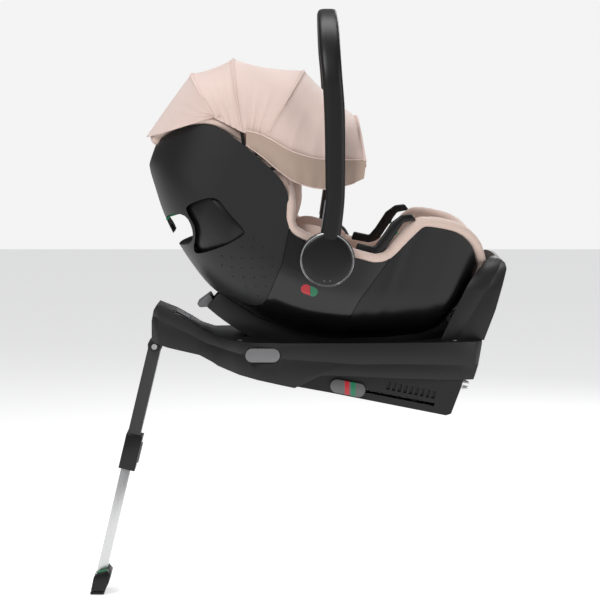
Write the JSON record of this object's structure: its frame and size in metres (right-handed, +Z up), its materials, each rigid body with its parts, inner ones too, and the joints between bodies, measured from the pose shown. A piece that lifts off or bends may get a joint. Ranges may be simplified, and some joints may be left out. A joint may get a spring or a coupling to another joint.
{
  "type": "infant car seat",
  "caption": "Rear-facing infant carrier with handle and folding canopy, on a swivelling reclining ISOFIX base with support leg and rebound bar",
  "frame": {"origin": "midway between the two ISOFIX anchor bars of the vehicle, 280 mm apart, where the base's jaws hold them", "axes": "+Z up; +X level, from the child's head to its feet, towards the vehicle seat's backrest; +Y to the child's left, along the anchor bars"},
  "size_m": [0.741, 0.444, 1.05],
  "materials": {
    "base_plastic": "satin",
    "canopy_fabric": "matte",
    "cover_fabric": "matte",
    "foam": "matte",
    "green_mark": "gloss",
    "grey_button": "satin",
    "handle_plastic": "satin",
    "leg_grey": "satin",
    "leg_silver": "satin",
    "red_button": "gloss",
    "rubber": "matte",
    "shell_gloss": "gloss",
    "shell_matte": "satin",
    "steel": "satin",
    "strap": "matte",
    "window": "gloss"
  },
  "bodies": {
    "base": {"base_upper_shell": "base_plastic", "base_lower_shell": "base_plastic", "leg_hinge_pin": "steel", "status_window": "window", "isofix_covers": "base_plastic", "grip_pads": "rubber", "base_screws": "steel", "rebound_bar_inner": "base_plastic", "rebound_bar_rear": "base_plastic"},
    "isofix_arms": {"isofix_arm_left": "leg_silver", "isofix_arm_right": "leg_silver", "isofix_cross_tube": "leg_silver", "isofix_knobs": "grey_button"},
    "swivel_button_left": {"swivel_button_left": "grey_button"},
    "swivel_button_right": {"swivel_button_right": "grey_button"},
    "leg_upper": {"leg_outer_tube": "leg_grey", "leg_collar": "shell_matte"},
    "leg_button": {"leg_button": "grey_button"},
    "leg_lower": {"leg_inner_tube": "leg_silver", "foot_housing": "shell_matte", "foot_sole": "rubber", "foot_indicator": "green_mark"},
    "turntable": {"turntable": "base_plastic", "turntable_nut": "base_plastic"},
    "cradle": {"cradle": "shell_matte", "rear_latch": "steel"},
    "cradle_release": {"cradle_release": "grey_button"},
    "carrier": {"seat_shell": "shell_gloss", "back_panel": "shell_matte", "foot_panel": "shell_matte", "scoop_panels": "shell_matte", "foam_liner": "foam", "seat_cover": "cover_fabric", "belt_guide_marks": "green_mark", "belt_hooks": "shell_matte", "shell_badge": "green_mark", "handle_pivots": "steel", "harness_straps": "strap", "shoulder_pads": "cover_fabric", "buckle": "shell_matte", "crotch_pad": "cover_fabric", "seat_insert": "cover_fabric", "canopy_pivots": "steel", "canopy_bow_rear": "handle_plastic", "canopy_rear_panel": "canopy_fabric"},
    "buckle_button": {"buckle_button": "red_button"},
    "headrest": {"headrest": "cover_fabric"},
    "handle": {"handle_inner": "handle_plastic", "handle_outer": "handle_plastic", "hub_covers": "handle_plastic"},
    "handle_lever_left": {"handle_lever_left": "grey_button"},
    "handle_lever_right": {"handle_lever_right": "grey_button"},
    "canopy_middle": {"canopy_bow_middle": "handle_plastic", "canopy_gore_rear": "canopy_fabric"},
    "canopy_forward": {"canopy_bow_forward": "handle_plastic", "canopy_gore_middle": "canopy_fabric"},
    "canopy_front": {"canopy_bow_front": "handle_plastic", "canopy_gore_front": "canopy_fabric", "canopy_valance": "canopy_fabric"}
  },
  "joints": [
    {"name": "isofix_slide", "type": "slide", "parent": "base", "child": "isofix_arms", "axis": [0.9806, 0, -0.1959], "range_m": [0, 0.11]},
    {"name": "swivel_press_left", "type": "slide", "parent": "base", "child": "swivel_button_left", "axis": [0, -1, 0], "range_m": [0, 0.003], "stiffness_N_per_m": 600},
    {"name": "swivel_press_right", "type": "slide", "parent": "base", "child": "swivel_button_right", "axis": [0, 1, 0], "range_m": [0, 0.003], "stiffness_N_per_m": 600},
    {"name": "leg_fold", "type": "hinge", "parent": "base", "child": "leg_upper", "pos_m": [-0.548, 0, 0.056], "axis": [0, 1, 0], "range_deg": [-80, 0]},
    {"name": "leg_press", "type": "slide", "parent": "leg_upper", "child": "leg_button", "axis": [-0.9724, 0, 0.2334], "range_m": [0, 0.0015], "stiffness_N_per_m": 600},
    {"name": "leg_length", "type": "slide", "parent": "leg_upper", "child": "leg_lower", "axis": [-0.2334, 0, -0.9724], "range_m": [-0.09, 0.04]},
    {"name": "swivel", "type": "hinge", "parent": "base", "child": "turntable", "pos_m": [-0.207, 0, 0.024], "axis": [0, 0, 1], "range_deg": [-90, 90]},
    {"name": "recline", "type": "hinge", "parent": "turntable", "child": "cradle", "pos_m": [-0.207, 0, 0.401], "axis": [0, 1, 0], "range_deg": [0, 8]},
    {"name": "cradle_press", "type": "slide", "parent": "cradle", "child": "cradle_release", "axis": [1, 0, 0], "range_m": [0, 0.003], "stiffness_N_per_m": 600},
    {"name": "carrier_lift", "type": "slide", "parent": "cradle", "child": "carrier", "axis": [0, 0, 1], "range_m": [0, 0.25]},
    {"name": "headrest_height", "type": "slide", "parent": "carrier", "child": "headrest", "axis": [-0.559, 0, 0.8291], "range_m": [0, 0.035]},
    {"name": "buckle_press", "type": "slide", "parent": "carrier", "child": "buckle_button", "axis": [-0.4695, 0, -0.8829], "range_m": [0, 0.002], "stiffness_N_per_m": 600},
    {"name": "handle_turn", "type": "hinge", "parent": "carrier", "child": "handle", "pos_m": [-0.241, 0, 0.224], "axis": [0, 1, 0], "range_deg": [-100, 0]},
    {"name": "lever_press_left", "type": "slide", "parent": "handle", "child": "handle_lever_left", "axis": [1, 0, 0], "range_m": [0, 0.0025], "stiffness_N_per_m": 600},
    {"name": "lever_press_right", "type": "slide", "parent": "handle", "child": "handle_lever_right", "axis": [1, 0, 0], "range_m": [0, 0.0025], "stiffness_N_per_m": 600},
    {"name": "canopy_fold", "type": "hinge", "parent": "carrier", "child": "canopy_middle", "pos_m": [-0.379, 0, 0.377], "axis": [0, 1, 0], "range_deg": [-17, 0], "deforming": ["canopy_gore_rear"]},
    {"name": "canopy_fold_forward", "type": "hinge", "parent": "canopy_middle", "child": "canopy_forward", "pos_m": [-0.379, 0, 0.377], "axis": [0, 1, 0], "range_deg": [-35, 0], "deforming": ["canopy_gore_middle"]},
    {"name": "canopy_fold_front", "type": "hinge", "parent": "canopy_forward", "child": "canopy_front", "pos_m": [-0.379, 0, 0.377], "axis": [0, 1, 0], "range_deg": [-31, 0], "deforming": ["canopy_gore_front", "canopy_valance"]}
  ],
  "couplings": [
    {"joint": "canopy_fold_forward", "follows": "canopy_fold", "ratio": 1.9},
    {"joint": "canopy_fold_front", "follows": "canopy_fold", "ratio": 1.7}
  ]
}
